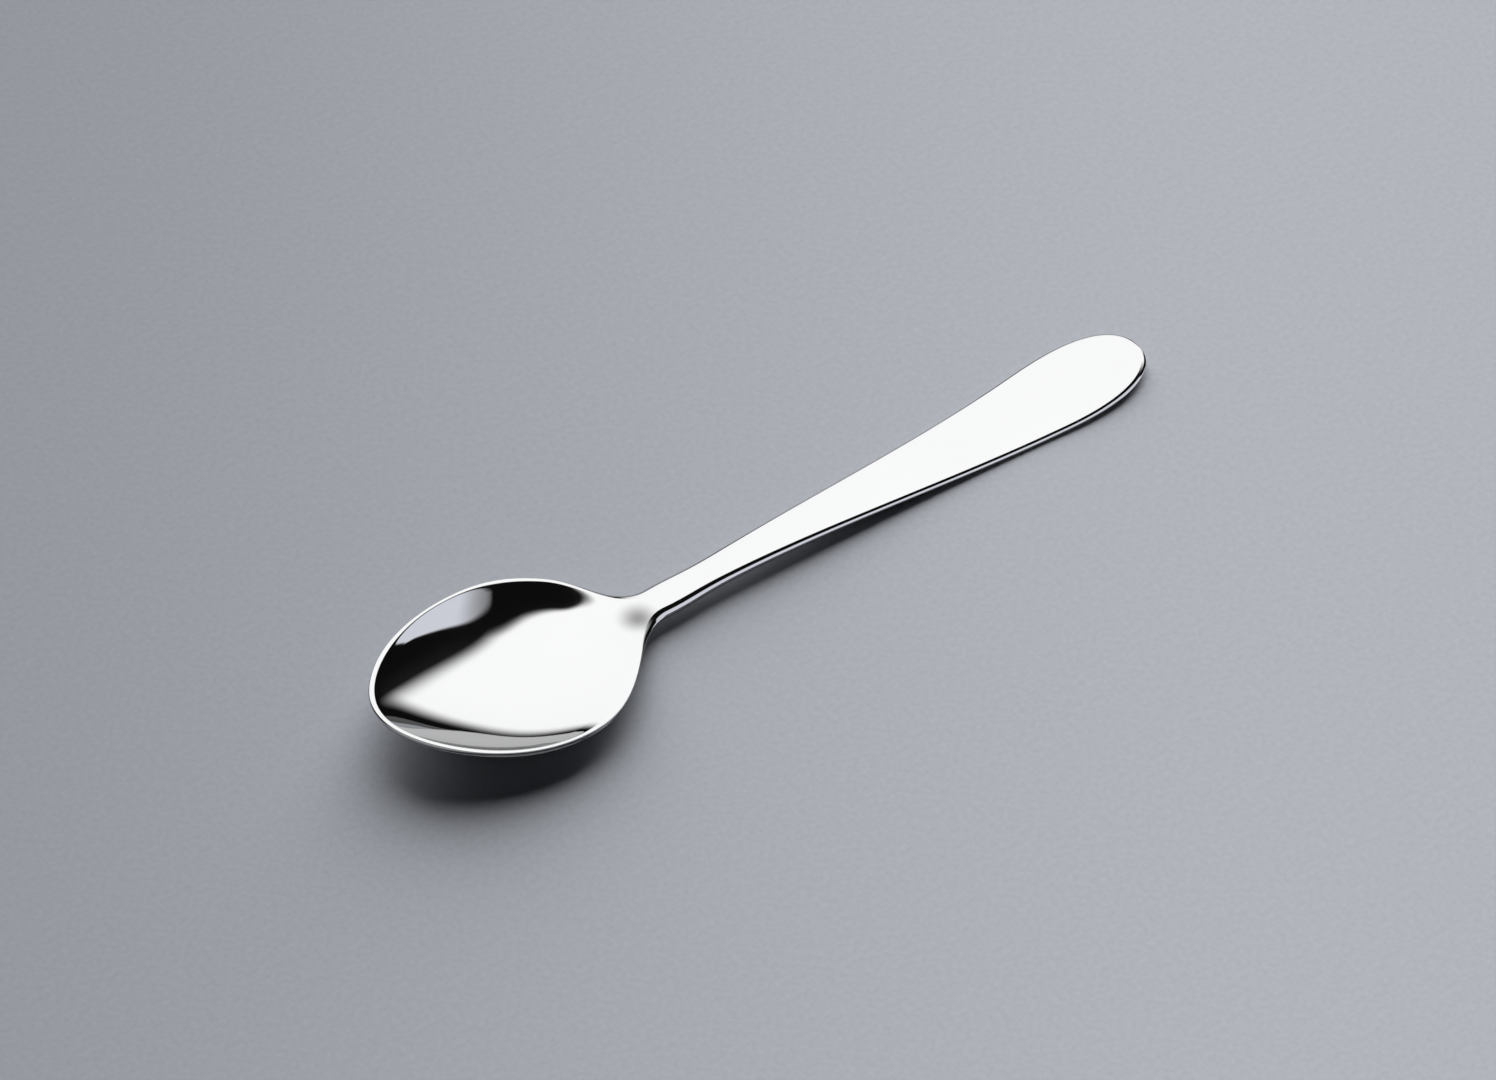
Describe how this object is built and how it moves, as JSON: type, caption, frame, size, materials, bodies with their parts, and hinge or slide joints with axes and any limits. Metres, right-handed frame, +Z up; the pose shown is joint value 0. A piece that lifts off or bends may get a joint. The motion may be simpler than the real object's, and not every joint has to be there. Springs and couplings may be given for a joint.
{
  "type": "demitasse spoon",
  "caption": "Small coffee spoon pressed in one piece from polished stainless steel, with an egg-shaped bowl, a slim neck and a flat handle that widens to a rounded end.",
  "frame": {"origin": "centre of the bounding box in plan, on the table that the spoon lies on", "axes": "+X along the spoon from the bowl tip to the handle end, +Z up out of the open bowl, +Y across"},
  "size_m": [0.11, 0.0266, 0.0083],
  "materials": {
    "polished_steel": "mirror polished stainless steel"
  },
  "bodies": {
    "root": {"spoon": "polished_steel"}
  },
  "joints": []
}
